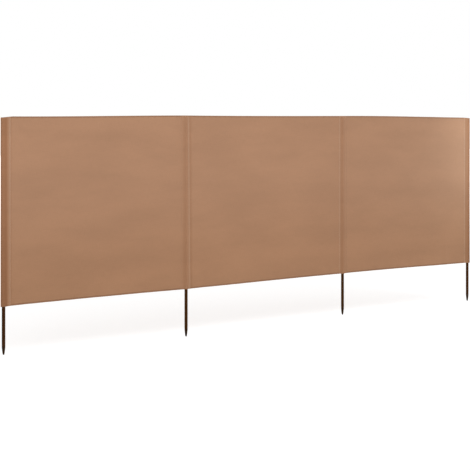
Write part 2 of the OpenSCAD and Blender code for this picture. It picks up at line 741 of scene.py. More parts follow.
def added(name: str, data: bpy.types.ID) -> Object:
    """Adds a mesh, lamp or camera to the scene.

    Args:
        name: The object's name.
        data: The mesh, lamp or camera.

    Returns:
        The new object.
    """
    new = bpy.data.objects.new(name, data)
    bpy.context.scene.collection.objects.link(new)
    return new


def places_on_cloth(x: Array, z: Array) -> Array:
    """Pairs X and Z as places on the cloth, in metres."""
    return np.stack(np.broadcast_arrays(x, z), -1).astype(float)


def way_round(ring: Array) -> Array:
    """The lengths of the steps round a closed ring of points."""
    return np.linalg.norm(np.diff(ring, axis=0, append=ring[:1]), axis=1)


def mount(piece: Object, body: str, node: Optional[str] = None) -> Object:
    """Lets a piece ride on a body, and hides the CAD node that it stands for, if any.

    Args:
        piece: The piece.
        body: The CAD body.
        node: The CAD node that it stands for, or None where it only lies on another piece.

    Returns:
        The same piece.
    """
    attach(piece, body)
    if node:
        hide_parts(node)
    return piece


# ---------------------------------------------------------------- colours and shader nodes


def linear(red: float, green: float, blue: float) -> tuple[float, float, float, float]:
    """A colour written as 0 to 255 on a screen, as the linear numbers that a shader takes.

    Each part is (c + 0.055) / 1.055 to the power 2.4, or c / 12.92 near black.

    Args:
        red: Its red part.
        green: Its green part.
        blue: Its blue part.

    Returns:
        The three linear numbers and 1.
    """
    parts = np.array([red, green, blue]) / 255
    values = np.where(parts > 0.04045, ((parts + 0.055) / 1.055) ** 2.4, parts / 12.92)
    return (float(values[0]), float(values[1]), float(values[2]), 1.0)


class NodeKit:
    """Short ways to add and join nodes in one tree."""

    def __init__(self, tree: Tree) -> None:
        """Starts with an empty tree."""
        self.tree = tree
        tree.nodes.clear()

    def add(self, kind: str, **settings: object) -> Node:
        """Adds a node.

        Args:
            kind: The node's type.
            **settings: Its properties, by name.

        Returns:
            The node.
        """
        node = self.tree.nodes.new(kind)
        for name, value in settings.items():
            setattr(node, name, value)
        return node

    def join(self, source: Socket, target: Socket) -> None:
        """Links two sockets."""
        self.tree.links.new(source, target)

    def put(self, value: object, target: Socket) -> None:
        """Links a socket, or sets a number, on a target socket.

        Args:
            value: The socket or the number.
            target: The input that takes it.
        """
        if isinstance(value, Socket):
            self.join(value, target)
        else:
            target.default_value = value

    def feed(self, node: Node, *values: object) -> Socket:
        """Sets or links a node's first inputs in order.

        Args:
            node: The node.
            *values: Sockets or numbers.

        Returns:
            The node's first output.
        """
        for value, target in zip(values, node.inputs):
            self.put(value, target)
        return node.outputs[0]

    def fill(self, node: Node, **values: object) -> Node:
        """Sets or links a node's inputs by name.

        Args:
            node: The node.
            **values: Sockets or numbers, named as the inputs are, with _ for each space.

        Returns:
            The same node.
        """
        for name, value in values.items():
            self.put(value, node.inputs[name.replace("_", " ")])
        return node

    def maths(self, operation: str, *values: object) -> Socket:
        """A Math node of the given operation on the given sockets or numbers."""
        return self.feed(self.add("ShaderNodeMath", operation=operation), *values)

    def span(self, value: object, low: float, high: float, new_low: float = 0.0,
             new_high: float = 1.0) -> Socket:
        """A clamped map of one range of values to another, with a smooth step."""
        node = self.add("ShaderNodeMapRange", interpolation_type="SMOOTHSTEP")
        return self.feed(node, value, low, high, new_low, new_high)

    def blend_colours(self, share: object, first: object, second: object,
                      mode: str = "MIX") -> Socket:
        """Blends two colours.

        Args:
            share: The share of the second.
            first: A colour or its socket.
            second: The other.
            mode: How they are blended.

        Returns:
            The blended colour.
        """
        node = self.add("ShaderNodeMix", data_type="RGBA", blend_type=mode)
        for value, place in ((share, 0), (first, 6), (second, 7)):
            self.put(value, node.inputs[place])
        return node.outputs[2]

    def grey_times(self, colour: object, value: Socket) -> Socket:
        """A colour with all its parts times one number."""
        grey = self.feed(self.add("ShaderNodeCombineColor"), value, value, value)
        return self.blend_colours(1.0, colour, grey, "MULTIPLY")

    def noise(self, vector: object, scale: object, detail: float = 2.0,
              roughness: float = 0.5) -> Socket:
        """A Noise texture's value."""
        node = self.add("ShaderNodeTexNoise")
        return self.fill(node, Vector=vector, Scale=scale, Detail=detail, Roughness=roughness).outputs[0]

    def parts(self, vector: Socket) -> list[Socket]:
        """The X, Y and Z of a vector."""
        return list(self.fill(self.add("ShaderNodeSeparateXYZ"), Vector=vector).outputs)

    def use_group(self, group: Tree, **values: object) -> Node:
        """Adds a node group and fills its inputs."""
        return self.fill(self.add("ShaderNodeGroup", node_tree=group), **values)

    def bump(self, height: Socket, distance: float, strength: float) -> Socket:
        """The normals of a height, which is times a distance in metres."""
        node = self.add("ShaderNodeBump")
        return self.fill(node, Height=height, Distance=distance, Strength=strength).outputs["Normal"]

    def stretched(self, vector: object, scale: Triple) -> Socket:
        """The vector with each of its parts times a number."""
        return self.feed(self.add("ShaderNodeVectorMath", operation="MULTIPLY"), vector, scale)


def new_material(name: str) -> tuple[Material, NodeKit, Node]:
    """Makes a material with one Principled shader.

    Args:
        name: The material's name.

    Returns:
        The material, a kit for its tree, and the shader.
    """
    material = bpy.data.materials.new(name)
    material.use_nodes = True
    kit = NodeKit(material.node_tree)
    shader = kit.add("ShaderNodeBsdfPrincipled")
    kit.fill(kit.add("ShaderNodeOutputMaterial"), Surface=shader.outputs["BSDF"])
    return material, kit, shader


def new_group(name: str, inputs: list[tuple[str, str, object]], outputs: list[tuple[str, str]]
              ) -> tuple[Tree, NodeKit, Node, Node]:
    """Makes a shader node group.

    Args:
        name: The group's name.
        inputs: Each input's name, kind of socket and first value.
        outputs: Each output's name and kind of socket.

    Returns:
        The group, a kit for its tree, and its input and output nodes.
    """
    group = bpy.data.node_groups.new(name, "ShaderNodeTree")
    for label, kind, value in inputs:
        socket = group.interface.new_socket(label, in_out="INPUT", socket_type=kind)
        if value is not None:
            socket.default_value = value
    for label, kind in outputs:
        group.interface.new_socket(label, in_out="OUTPUT", socket_type=kind)
    kit = NodeKit(group)
    return group, kit, kit.add("NodeGroupInput"), kit.add("NodeGroupOutput")


def weave_group() -> Tree:
    """A plain weave on places in metres: threads that pass over and under, with slubs along them.

    The height of a thread is the sine across it, raised where it passes over the crossing thread,
    which is where the product of the two long sines is positive. Slubs are noise drawn out along
    the warp and along the weft.

    Returns:
        A group with outputs Height and Tone, both from 0 to 1.
    """
    group, kit, given, result = new_group(
        "plain weave",
        [("Place", "NodeSocketVector", None), ("Threads per metre", "NodeSocketFloat", 900.0)],
        [("Height", "NodeSocketFloat"), ("Tone", "NodeSocketFloat")],
    )
    place = given.outputs["Place"]
    turns = kit.maths("MULTIPLY", given.outputs["Threads per metre"], math.pi)
    warp, weft = (kit.maths("SINE", kit.maths("MULTIPLY", part, turns)) for part in kit.parts(place)[:2])
    over = kit.span(kit.maths("MULTIPLY", warp, weft), -0.3, 0.3)
    under = kit.maths("SUBTRACT", 1.0, over)
    threads = kit.maths(
        "ADD",
        kit.maths("MULTIPLY", over, kit.maths("ABSOLUTE", warp)),
        kit.maths("MULTIPLY", under, kit.maths("ABSOLUTE", weft)),
    )
    slubs = [
        kit.noise(kit.stretched(place, pace), 1.0, 3.0)
        for pace in ((700.0, 22.0, 1.0), (18.0, 620.0, 1.0))
    ]
    slub = kit.maths("MULTIPLY", kit.maths("ADD", *slubs), 0.5)
    tone = kit.maths("ADD", kit.maths("MULTIPLY", slub, 0.8), kit.maths("MULTIPLY", threads, 0.2))
    kit.fill(result, Height=threads, Tone=tone)
    return group


def mottle_group() -> Tree:
    """Slow unevenness of a surface: two sizes of noise on object places.

    Returns:
        A group with the output Mottle, from 0 to 1 about a half.
    """
    group, kit, given, result = new_group(
        "mottle",
        [("Place", "NodeSocketVector", None), ("Patches per metre", "NodeSocketFloat", 3.0)],
        [("Mottle", "NodeSocketFloat")],
    )
    uneven = kit.noise(given.outputs["Place"], given.outputs["Patches per metre"], 4.0, 0.55)
    kit.fill(result, Mottle=uneven)
    return group


@dataclass(frozen=True)
class ClothFinish:
    """Matt woven canvas, with painted shade where it lies double and towards its lower edge, and a painted
    highlight on seam ridges.

    Attributes:
        name: The material's name.
        colour: Its colour, as 0 to 255.
        doubled_shade: Its colour as painted shade where two or more plies lie together, over a pole and
            beside seams.
        doubled_shade_low: The same at the lower edge, darker as painted shade.
        highlight_colour: Its colour as a painted highlight along the front of seam ridges.
        low_shade: What its colour is multiplied by at the lower edge, as warm painted shade.
        low_shade_from: Where that painted shade starts, and the height below which it is full.
        shade: How much the darkest threads darken it, from 0 to 1.
        mottle: How much slow unevenness shows, from 0 to 1.
        patches_per_metre: How close its patches lie.
        patch_pace: How much faster they follow each other along X, Y and Z.
        threads_per_metre: How fine the weave is.
        weave_depth: How deep the weave's bump is, in metres.
        roughness: How matt it is.
        sheen: How much its fibres catch the light at a glance.
    """

    name: str
    colour: Triple
    doubled_shade: Triple
    doubled_shade_low: Triple
    highlight_colour: Triple = (192, 154, 128)
    low_shade: Triple = (251, 248, 242)
    low_shade_from: Pair = (1.15, 0.4)
    shade: float = 0.10
    mottle: float = 0.05
    patches_per_metre: float = 2.6
    patch_pace: Triple = (0.55, 1.0, 1.9)
    threads_per_metre: float = 900.0
    weave_depth: float = 0.12 * MM
    roughness: float = 0.92
    sheen: float = 0.12

    def build(self, weave: Tree, mottle: Tree) -> Material:
        """Makes the material.

        Args:
            weave: The plain weave group.
            mottle: The mottle group.

        Returns:
            A material that reads the cloth's own UV map and its two attributes.
        """
        material, kit, shader = new_material(self.name)
        place = kit.add("ShaderNodeUVMap", uv_map=UV_NAME).outputs["UV"]
        threads = kit.use_group(weave, Place=place, Threads_per_metre=self.threads_per_metre)
        standing = kit.add("ShaderNodeTexCoord").outputs["Object"]
        drawn_out = kit.stretched(standing, self.patch_pace)
        patches = kit.use_group(mottle, Place=drawn_out, Patches_per_metre=self.patches_per_metre)
        shade_marks = kit.add("ShaderNodeAttribute", attribute_name=SHADE_MARKS_NAME).outputs["Fac"]
        highlight_marks = kit.add("ShaderNodeAttribute", attribute_name=HIGHLIGHT_MARKS_NAME).outputs["Fac"]
        # Darker and warmer towards the lower edge: painted shade.
        low = kit.span(kit.parts(standing)[2], *self.low_shade_from)
        doubled_shade = kit.blend_colours(low, linear(*self.doubled_shade), linear(*self.doubled_shade_low))
        # Painted shade where cloth lies double, over a pole and beside seams.
        base = kit.blend_colours(shade_marks, linear(*self.colour), doubled_shade)
        # A painted highlight along the front of seam ridges.
        base = kit.blend_colours(highlight_marks, base, linear(*self.highlight_colour))
        base = kit.blend_colours(low, base, linear(*self.low_shade), "MULTIPLY")
        dark = kit.span(threads.outputs["Tone"], 0.3, 0.62, 1.0 - self.shade, 1.0 + self.shade / 3)
        uneven = kit.span(patches.outputs["Mottle"], 0.3, 0.7, 1.0 - self.mottle, 1.0 + self.mottle)
        base = kit.grey_times(base, kit.maths("MULTIPLY", dark, uneven))
        kit.fill(
            shader,
            Base_Color=base,
            Normal=kit.bump(threads.outputs["Height"], self.weave_depth, 0.6),
            Roughness=self.roughness,
            Specular_IOR_Level=0.2,
            Sheen_Weight=self.sheen,
            Sheen_Roughness=0.5,
            Sheen_Tint=linear(235, 215, 195),
        )
        return material


@dataclass(frozen=True)
class ThreadFinish:
    """Twisted sewing thread.

    Attributes:
        name: The material's name.
        colour: Its colour, as 0 to 255.
        twist_pace: How close its twists lie, to a metre.
        roughness: How matt it is.
    """

    name: str
    colour: Triple
    twist_pace: float = 1500.0
    roughness: float = 0.7

    def build(self) -> Material:
        """Makes the material: fine noise stands for the twist.

        Returns:
            The material.
        """
        material, kit, shader = new_material(self.name)
        place = kit.add("ShaderNodeTexCoord").outputs["Object"]
        twist = kit.span(kit.noise(place, self.twist_pace, 1.0), 0.35, 0.65)
        darker = linear(*[part * 0.8 for part in self.colour])
        twisted = kit.blend_colours(twist, darker, linear(*self.colour))
        kit.fill(shader, Base_Color=twisted, Roughness=self.roughness, Sheen_Weight=0.2)
        return material


@dataclass(frozen=True)
class CoatFinish:
    """Powder coat on steel: a fine orange peel, and sand scuffs towards the spike's end.

    Attributes:
        name: The material's name.
        colour: Its colour, as 0 to 255.
        scuffed: Its colour where sand has worn it.
        scuffs: How much of it is scuffed, from 0 to 1.
        scuffed_from: The height where scuffs start, and the one below which they are full.
        scratch_pace: How fast scratches follow each other along X, Y and Z, to a metre.
        patches_per_metre: How close its slow unevenness lies.
        peel_pace: How close the orange peel's dimples lie, to a metre.
        peel_depth: How deep they are, in metres.
        roughness: How matt the coat is.
        gloss: How much it mirrors.
    """

    name: str
    colour: Triple
    scuffed: Triple
    scuffs: float = 0.3
    scuffed_from: Pair = (0.24, 0.03)
    scratch_pace: Triple = (900.0, 900.0, 45.0)
    patches_per_metre: float = 14.0
    peel_pace: float = 1400.0
    peel_depth: float = 0.05 * MM
    roughness: float = 0.52
    gloss: float = 0.06

    def build(self, mottle: Tree) -> Material:
        """Makes the material.

        Args:
            mottle: The mottle group.

        Returns:
            A material that reads object places.
        """
        material, kit, shader = new_material(self.name)
        place = kit.add("ShaderNodeTexCoord").outputs["Object"]
        uneven = kit.use_group(mottle, Place=place, Patches_per_metre=self.patches_per_metre)
        patches = uneven.outputs["Mottle"]
        scratches = kit.noise(kit.stretched(place, self.scratch_pace), 1.0, 3.0, 0.6)
        scratched = kit.span(kit.maths("MULTIPLY_ADD", patches, 0.35, scratches), 0.72, 0.86)
        low = kit.span(kit.parts(place)[2], *self.scuffed_from)
        worn = kit.maths("MULTIPLY", scratched, kit.maths("MULTIPLY", low, self.scuffs))
        coat = kit.grey_times(linear(*self.colour), kit.span(patches, 0.3, 0.7, 0.88, 1.1))
        peel = kit.maths("SUBTRACT", kit.noise(place, self.peel_pace, 1.0), worn)
        kit.fill(
            shader,
            Base_Color=kit.blend_colours(worn, coat, linear(*self.scuffed)),
            Normal=kit.bump(peel, self.peel_depth, 0.35),
            Roughness=kit.span(kit.maths("ADD", worn, patches), 0.3, 1.2, self.roughness, 0.75),
            Specular_IOR_Level=self.gloss,
        )
        return material


@dataclass
class Finishes:
    """The windbreak's materials.

    Attributes:
        cloth: The panels' canvas.
        hem: The canvas of the turned edges.
        sleeve: The canvas of the pole sleeves.
        thread: The stitches of hems and plain seams.
        pale_thread: The stitches of felled seams.
        pole: The tubes' powder coat.
        spike: The spikes' coat.
    """

    cloth: Material
    hem: Material
    sleeve: Material
    thread: Material
    pale_thread: Material
    pole: Material
    spike: Material

    @classmethod
    def made(cls) -> "Finishes":
        """Builds the node groups and then each material from them.

        Returns:
            All the finishes.
        """
        weave, mottle = weave_group(), mottle_group()
        single = (175, 133, 104)
        # The double-cloth colours are painted shade, darker at the lower edge.
        doubled_shade, doubled_shade_low = (154, 108, 77), (147, 102, 71)
        cloth = ClothFinish("brown_canvas", single, doubled_shade, doubled_shade_low)
        hem = ClothFinish("brown_canvas_hem", single, (160, 120, 92), (157, 117, 90), mottle=0.04)
        sleeve = ClothFinish("brown_canvas_sleeve", single, doubled_shade, doubled_shade_low)
        return cls(
            cloth=cloth.build(weave, mottle),
            hem=hem.build(weave, mottle),
            sleeve=sleeve.build(weave, mottle),
            thread=ThreadFinish("brown_thread", (156, 116, 88)).build(),
            pale_thread=ThreadFinish("sand_thread", (200, 170, 146)).build(),
            pole=CoatFinish("brown_powder_coat", (65, 36, 9), (96, 68, 42)).build(mottle),
            spike=CoatFinish("dark_spike_coat", (46, 26, 9), (88, 66, 46), scuffs=0.6,
                             roughness=0.6).build(mottle),
        )


# ---------------------------------------------------------------- cloth pieces


@dataclass
class ClothMaker:
    """What every cloth piece is made with: the wall, its drape and the finishes.

    Attributes:
        wall: The frame's sizes.
        drape: The cloth's offsets.
        finishes: The materials.
        cloth_t: The thickness of one layer.
    """

    wall: WallFrame
    drape: Drape
    finishes: Finishes
    cloth_t: float = 0.7 * MM

    def surface(self, x: Array, z: Array, proud: Array) -> Array:
        """Points of the cloth at places x and z, proud of its middle surface by a distance.

        Args:
            x: Places along the wall.
            z: Heights on the flat cloth.
            proud: Offsets towards the back.

        Returns:
            The points, with X, Y and Z on the last axis.
        """
        x, z, proud = np.broadcast_arrays(x, z, proud)
        y = self.drape.offset(x, z) + proud
        return np.stack([x + self.drape.sway(x, z), y, z + self.drape.lift(x, z)], -1)


@dataclass
class BayPiece:
    """Something that is made of one bay's cloth.

    Attributes:
        maker: The wall, drape and finishes.
        number: The bay, from 1 at the left.
        body: The CAD body that it rides on.
    """

    maker: ClothMaker
    number: int
    body: str


@dataclass
class Panel(BayPiece):
    """One bay's cloth between its seams and hems: a thin closed sheet.

    Attributes:
        overlap: How far it runs on behind the sleeves.
        tuck: How far it runs on into the hems.
        fine: The step of its grid at its edges.
        coarse: The step in its middle, across and up.
        border: How far from an edge the step takes to grow.
    """

    overlap: float = 3 * MM
    tuck: float = 1 * MM
    fine: float = 3.2 * MM
    coarse: Pair = (8.5 * MM, 6.5 * MM)
    border: float = 70 * MM

    def build(self) -> Object:
        """Makes the sheet: a graded grid in front, the same grid behind it, and a rim between them.

        Returns:
            The panel.
        """
        wall, maker = self.maker.wall, self.maker
        left, right = maker.drape.cloth_span(self.number, self.overlap)
        x = graded(left, right, self.fine, self.coarse[0], self.border)
        low, high = wall.bottom + wall.hem_h, wall.top - wall.hem_h
        z = graded(low - self.tuck, high + self.tuck, self.fine, self.coarse[1], self.border)
        x, z = np.meshgrid(x, z)
        uvs = places_on_cloth(x, z)
        half = maker.cloth_t / 2
        shell = Shell()
        # Painted shade in the strip beside each felled seam.
        under = maker.drape.shade_beside_seams(x)
        front = shell.grid(maker.surface(x, z, -half), uvs, shade_marks=under)
        back = shell.grid(maker.surface(x, z, half), uvs, flip=True, shade_marks=under)
        shell.strip(front[0], back[0], uvs[0], flip=True)
        shell.strip(front[-1], back[-1], uvs[-1])
        shell.strip(front[:, 0], back[:, 0], uvs[:, 0])
        shell.strip(front[:, -1], back[:, -1], uvs[:, -1], flip=True)
        piece = shell.build(f"panel_cloth_{self.number}", maker.finishes.cloth)
        mount(piece, self.body, f"panel_{self.number}")
        return piece


@dataclass
class Hem(BayPiece):
    """A turned and stitched edge along the top or bottom of a bay: a flat roll of three plies, coloured all
    over with painted shade.

    Attributes:
        at_top: Whether it is the top hem.
        overlap: How far it runs on behind the sleeves.
        front_proud: How far it stands out in front.
        back_proud: How far it stands out behind.
        stitch_inset: From its inner edge to its stitches.
        squeeze: How much the stitches press it together.
        dent_w: The half width of the dent that they make.
        sides: How many points go round it.
        roundness: The powers that flatten its outline, across it and through it.
        step: From one ring of points to the next.
    """

    at_top: bool
    overlap: float = 3 * MM
    front_proud: float = 0.9 * MM
    back_proud: float = 1.6 * MM
    stitch_inset: float = 2.2 * MM
    squeeze: float = 0.18
    dent_w: float = 1.1 * MM
    sides: int = 16
    roundness: Pair = (0.55, 0.35)
    step: float = 3.2 * MM

    def profile(self) -> tuple[Array, Array]:
        """The hem's outline: a power of a circle, squeezed in where the stitches hold it.

        Returns:
            Shares of its height from its outer edge, and offsets towards the back.
        """
        turn = np.linspace(0, TAU, self.sides + 1)[:-1] + TAU / (2 * self.sides)
        across, out = (
            np.sign(part) * np.abs(part) ** power
            for part, power in zip((np.cos(turn), np.sin(turn)), self.roundness)
        )
        across = 0.5 + 0.5 * across
        proud = np.where(out > 0, self.back_proud, self.front_proud) * out
        held = np.exp(-(((1 - across) * self.maker.wall.hem_h - self.stitch_inset) / self.dent_w) ** 2)
        return across, proud * (1 - self.squeeze * held)

    def build(self) -> Object:
        """Makes the hem: its outline carried along the edge of the drape.

        Returns:
            The hem.
        """
        wall, maker = self.maker.wall, self.maker
        left, right = maker.drape.cloth_span(self.number, self.overlap)
        across, proud = self.profile()
        height = wall.top - across * wall.hem_h if self.at_top else wall.bottom + across * wall.hem_h
        count = int((right - left) / self.step)
        x = np.linspace(left, right, count)[:, None]
        points = maker.surface(x, height[None], proud[None])
        passed = np.linspace(0, 2 * wall.hem_h, len(across) + 1)
        uvs = places_on_cloth(x, wall.top + passed[None])
        shell = Shell()
        # The whole hem takes the painted shade of double cloth.
        flip, doubled_shade = self.at_top, np.ones(points.shape[:2])
        rows = shell.grid(points, uvs, wrap=True, flip=flip, shade_marks=doubled_shade)
        shell.fan(rows[0], points[0].mean(0), flip=not flip)
        shell.fan(rows[-1], points[-1].mean(0), flip=flip)
        kind = "top" if self.at_top else "bottom"
        piece = shell.build(f"{kind}_hem_cloth_{self.number}", maker.finishes.hem)
        mount(piece, self.body, f"{kind}_hem_{self.number}")
        way_round(points[0]).sum() / 2
        return piece


class Closing(Enum):
    """How one side of a sleeve is closed."""

    FOLD = "the cloth turns back round the pole"
    FELLED_SEAM = "a flat ridge of turned cloth with two rows of stitches"
    PLAIN_SEAM = "one row of stitches"


@dataclass(frozen=True)
class SleeveSide:
    """One side of a sleeve.

    Attributes:
        closing: How it is closed.
        reach: From the pole's axis to the fold or to the first row of stitches.
        depth: How much painted shade, in the sleeve's double-cloth colour, lies over the pole, from 0 to 1.
        ridge: The width of a felled seam's ridge.
        margin: How much cloth lies flat beyond the stitches.
        hug: How closely the cloth follows the pole before it leaves it, where 1 is a straight line.
        lean: How much nearer to the pole the seam comes at one end.
        plain_inset: From a plain seam's start to its stitches.
        row_inset: From a ridge's edge to the stitches beside it.
        slope: The half width of the slope at each edge of a ridge.
        full_within: How near to the pole's axis the painted shade is full.
    """

    closing: Closing
    reach: float
    depth: float
    ridge: float = 0.0
    margin: float = 0.0
    hug: float = 1.0
    lean: float = 0.0
    plain_inset: float = 1.5 * MM
    row_inset: float = 1.2 * MM
    slope: float = 0.8 * MM
    full_within: float = 12 * MM

    @property
    def bend_reach(self) -> float:
        """From the pole's axis to the seam's nearest point."""
        return self.reach - abs(self.lean)

    @property
    def edge(self) -> float:
        """From the pole's axis to the sleeve's edge."""
        return self.reach + self.ridge + self.margin

    @property
    def rows(self) -> list[float]:
        """From the pole's axis to each upright row of stitches."""
        if self.closing is Closing.FOLD:
            return []
        if self.closing is Closing.PLAIN_SEAM:
            return [self.reach + self.plain_inset]
        return [self.reach + self.row_inset, self.reach + self.ridge - self.row_inset]

    def stand_off(self, away: Array, radius: Array) -> Array:
        """How far a layer stands out from the middle plane.

        A fold is a quarter of an ellipse. Beside a seam it is the higher of the circle round the
        pole and a line from its tangent point to the seam, raised to the power of hug.

        Args:
            away: Distances from the pole's axis.
            radius: The layer's radius over the pole.

        Returns:
            Distances from the middle plane.
        """
        if self.closing is Closing.FOLD:
            return radius * np.sqrt(np.clip(1 - (away / self.reach) ** 2, 0, None))
        over = np.sqrt(np.clip(radius * radius - away * away, 0, None))
        touch = radius * radius / self.reach
        share = np.clip((self.reach - away) / (self.reach - touch), 0, 1)
        return np.maximum(over, np.sqrt(radius * radius - touch * touch) * share**self.hug)

    def on_ridge(self, away: Array) -> Array:
        """A smooth plateau over the felled seam's ridge.

        Args:
            away: Distances from the pole's axis.

        Returns:
            Shares from 0 to 1.
        """
        end = self.reach + self.ridge
        rise = ramp(away, self.reach - self.slope, self.reach + self.slope)
        return rise * ramp(away, end + self.slope, end - self.slope) if self.ridge else 0 * away

    def shade_over_pole(self, away: Array) -> Array:
        """How much painted shade lies here: all of it over the pole, and none at a seam.

        Args:
            away: Distances from the pole's axis.

        Returns:
            Shares from 0 to 1.
        """
        if self.closing is Closing.FOLD:
            return np.full(np.shape(away), self.depth)
        return self.depth * ramp(away, self.reach, min(self.full_within, 0.4 * self.reach))


@dataclass
class Sleeve:
    """A pocket of cloth round a pole: two plies that bulge over it and meet at its sides, with painted
    shade over the pole.

    Attributes:
        maker: The wall, drape and finishes.
        number: The pole, from 1 at the left.
        left: Its left side.
        right: Its right side.
        room: Between the pole and the cloth in front.
        back_slack: How much more room there is behind.
        front_thick: The front layer's distance from the middle plane where it lies flat.
        back_thick: The back layer's.
        hem_thick: How much a hem adds to it.
        ridge_h: How far a felled seam's ridge stands out.
        looseness: How far the loose cloth beside the pole stands out.
        dent: How far a row of stitches draws the cloth in.
        dent_w: The half width of that dent.
        columns: How many points go across each face.
        step: From one row of points to the next.
        inner_rows: How many rows the lining has.
        lining: How far it lies inside the outer surface.
        opening_flare: How much wider the sleeve is at its opening.
        ridge_highlight: How much painted highlight the front of the ridges takes, from 0 to 1.
        edge_round: How far from its edges it is rounded off.
        slack_pitch: The lengths of its two slow waves, up and down.
        flare_h: How high above the opening it starts to flare.
        ripple_pitch: From one ripple of loose cloth to the next, and the length that they drift by.
        closed: How much of its bulge is gone at its top, as a share of its square.
        thinnest: How near to the middle plane a layer may come.
        colour_turn: How far from the axis one side's painted shade gives way to the other's.
        fine: The step between rows at its ends.
        border: How far from an end the step takes to grow.
    """

    maker: ClothMaker
    number: int
    left: SleeveSide
    right: SleeveSide
    room: float = 0.6 * MM
    back_slack: float = 0.9 * MM
    front_thick: float = 0.4 * MM
    back_thick: float = 1.0 * MM
    hem_thick: float = 0.6 * MM
    ridge_h: float = 0.7 * MM
    looseness: float = 1.4 * MM
    dent: float = 0.25 * MM
    dent_w: float = 1.2 * MM
    columns: int = 44
    step: float = 4.8 * MM
    inner_rows: int = 28
    lining: float = 1.25 * MM
    opening_flare: float = 1.2 * MM
    ridge_highlight: float = 0.38
    edge_round: float = 1.6 * MM
    slack_pitch: Pair = (0.31, 0.117)
    flare_h: float = 60 * MM
    ripple_pitch: Pair = (0.083, 0.29)
    closed: float = 0.97
    thinnest: float = 0.15 * MM
    colour_turn: float = 9 * MM
    fine: float = 1.6 * MM
    border: float = 40 * MM

    @property
    def axis(self) -> float:
        """The pole's place along X."""
        return self.maker.wall.pole_x[self.number - 1]

    @property
    def sides(self) -> tuple[tuple[SleeveSide, int], ...]:
        """Each side with the sign of X on it."""
        return (self.left, -1), (self.right, 1)

    def by_side(self, x: Array, left: Array, right: Array) -> Array:
        """Takes the left side's values where x is negative, and the right side's elsewhere."""
        return np.where(x < 0, left, right)

    def slack_radius(self, z: Array, face: Face) -> Array:
        """The layer's radius over the pole: it waves up and down, and flares at the opening.

        Args:
            z: Heights on the flat cloth.
            face: The layer's side.

        Returns:
            The radii.
        """
        wall = self.maker.wall
        looser = 1.0 if face is Face.BACK else 0.5
        long, short = self.slack_pitch
        waves = 0.35 * np.sin(TAU * z / long + self.number) + 0.25 * np.sin(TAU * z / short)
        flare = self.opening_flare * ramp(z, wall.bottom + self.flare_h, wall.bottom)
        slack = self.room + (self.back_slack if face is Face.BACK else 0)
        return wall.pole_r + self.maker.cloth_t + slack + flare + looser * waves * MM

    def proud(self, x: Array, z: Array, face: Face) -> Array:
        """How far the outer surface of one layer lies from the middle plane.

        Each side's line with a little slack in ripples, closed over the pole's top by a quarter of
        an ellipse, and never thinner than the stitched plies. Rows of stitches draw it in.

        Args:
            x: Distances from the pole's axis, negative to the left.
            z: Heights on the flat cloth.
            face: The layer's side.

        Returns:
            Distances, all positive.
        """
        wall = self.maker.wall
        away = np.abs(x)
        radius = self.slack_radius(z, face)
        line = self.by_side(x, self.left.stand_off(away, radius), self.right.stand_off(away, radius))
        pitch, drift = self.ripple_pitch
        ripple = np.sin(TAU * z / pitch + 1.7 * np.sin(TAU * z / drift) + self.number + face.value)
        loose = np.clip(line / wall.pole_r, 0, 1) * np.clip(1 - line / radius, 0, 1)
        line = line + self.looseness * loose * (0.6 + 0.4 * ripple)
        close = np.clip((z - wall.tube_top) / (wall.top - wall.tube_top), 0, 1)
        line = line * np.sqrt(1 - self.closed * close**2)
        hem = ramp(z, wall.bottom + wall.hem_h + MM, wall.bottom + wall.hem_h - MM)
        hem = np.maximum(hem, ramp(z, wall.top - wall.hem_h - MM, wall.top - wall.hem_h + MM))
        thick = (self.back_thick if face is Face.BACK else self.front_thick) + self.hem_thick * hem
        for side, sign in self.sides:
            thick = thick + self.ridge_h * side.on_ridge(sign * x)
        outer = np.sqrt(line * line + thick * thick)
        for side, sign in self.sides:
            for row in side.rows:
                outer = outer - self.dent * np.exp(-(((sign * x - row) / self.dent_w) ** 2))
        return outer

    def rounded_edge(self, x: Array) -> Array:
        """How much of its thickness the sleeve keeps: both edges end in a quarter of an ellipse.

        Args:
            x: Distances from the pole's axis, negative to the left.

        Returns:
            Shares up to 1.
        """
        inset = np.minimum(x + self.left.edge, self.right.edge - x)
        round_off = np.clip(1 - inset / self.edge_round, 0, 1)
        return np.sqrt(np.clip(1 - round_off**2, 0.0004, 1))

    def across(self) -> Array:
        """Places across the sleeve: even steps, mixed with a cosine that closes up at its edges.

        Returns:
            Distances from the pole's axis, from left to right.
        """
        even = np.linspace(0, 1, self.columns)
        eased = 0.5 - 0.5 * np.cos(math.pi * even)
        return -self.left.edge + (self.left.edge + self.right.edge) * (0.45 * even + 0.55 * eased)

    def skin(self, shell: Shell, z: Array, thinner: float, inside: bool) -> tuple[Array, Array, Array]:
        """Adds rows of points round the sleeve.

        Args:
            shell: What they are added to.
            z: Their heights on the flat cloth.
            thinner: How far to keep inside the outer surface.
            inside: Whether the skin faces the pole.

        Returns:
            The points' numbers, the points, and their places on the cloth.
        """
        x = self.across()
        round_x = np.concatenate([x, x[::-1][1:-1]])
        face = np.concatenate([np.full(len(x), -1.0), np.full(len(x) - 2, 1.0)])
        grid_x, grid_z = np.meshgrid(round_x, z)
        thick = np.where(
            face < 0, self.proud(grid_x, grid_z, Face.FRONT), self.proud(grid_x, grid_z, Face.BACK)
        )
        thick = np.clip(thick - thinner, self.thinnest, None) * self.rounded_edge(grid_x)
        points = self.maker.surface(grid_x + self.axis, grid_z, thick * face)
        u = self.axis - self.left.edge + np.append(0, np.cumsum(way_round(points[len(z) // 2])))
        uvs = places_on_cloth(u[None], np.asarray(z)[:, None])
        away = np.abs(grid_x)
